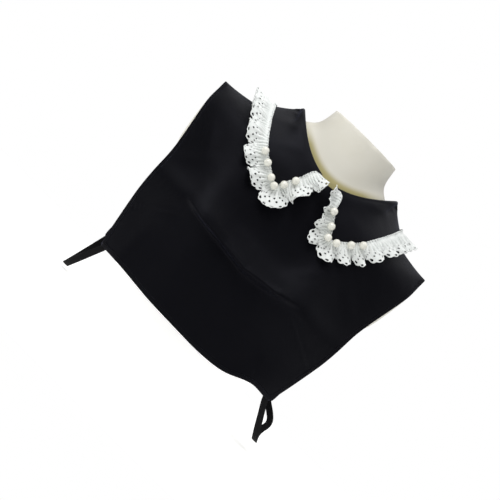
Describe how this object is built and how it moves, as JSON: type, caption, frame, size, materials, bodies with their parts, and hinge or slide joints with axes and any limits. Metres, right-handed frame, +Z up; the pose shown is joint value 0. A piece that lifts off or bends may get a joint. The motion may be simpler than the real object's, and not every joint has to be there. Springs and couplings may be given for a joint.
{
  "type": "lace-trimmed false collar on a dress form",
  "caption": "Sleeveless half-shirt collar in black cloth with a flat pointed collar edged in gathered white lace and pearls, worn on a cream limbless bust form.",
  "frame": {"origin": "middle of the form's flat underside, on the surface that it stands on", "axes": "+Z up; the garment's front faces -Y; +X is the viewer's right"},
  "size_m": [0.35, 0.2172, 0.376],
  "materials": {
    "form_cover": "matt cream cotton over a hard shell",
    "black_cloth": "smooth close black weave with a faint sheen",
    "lace": "white cotton eyelet lace",
    "pearl": "ivory pearl coat",
    "elastic": "flat ribbed black elastic",
    "button": "plain black, satin"
  },
  "bodies": {
    "root": {"dress_form": "form_cover", "front_panel": "black_cloth", "back_left": "black_cloth", "back_right": "black_cloth", "collar_left": "black_cloth", "collar_right": "black_cloth", "lace_left": "lace", "lace_right": "lace", "pearl_left_1": "pearl", "pearl_left_2": "pearl", "pearl_left_3": "pearl", "pearl_left_4": "pearl", "pearl_left_5": "pearl", "pearl_left_6": "pearl", "pearl_right_1": "pearl", "pearl_right_2": "pearl", "pearl_right_3": "pearl", "pearl_right_4": "pearl", "pearl_right_5": "pearl", "pearl_right_6": "pearl", "strap_left": "elastic", "strap_right": "elastic", "button_1": "button", "button_2": "button", "button_3": "button"}
  },
  "joints": []
}
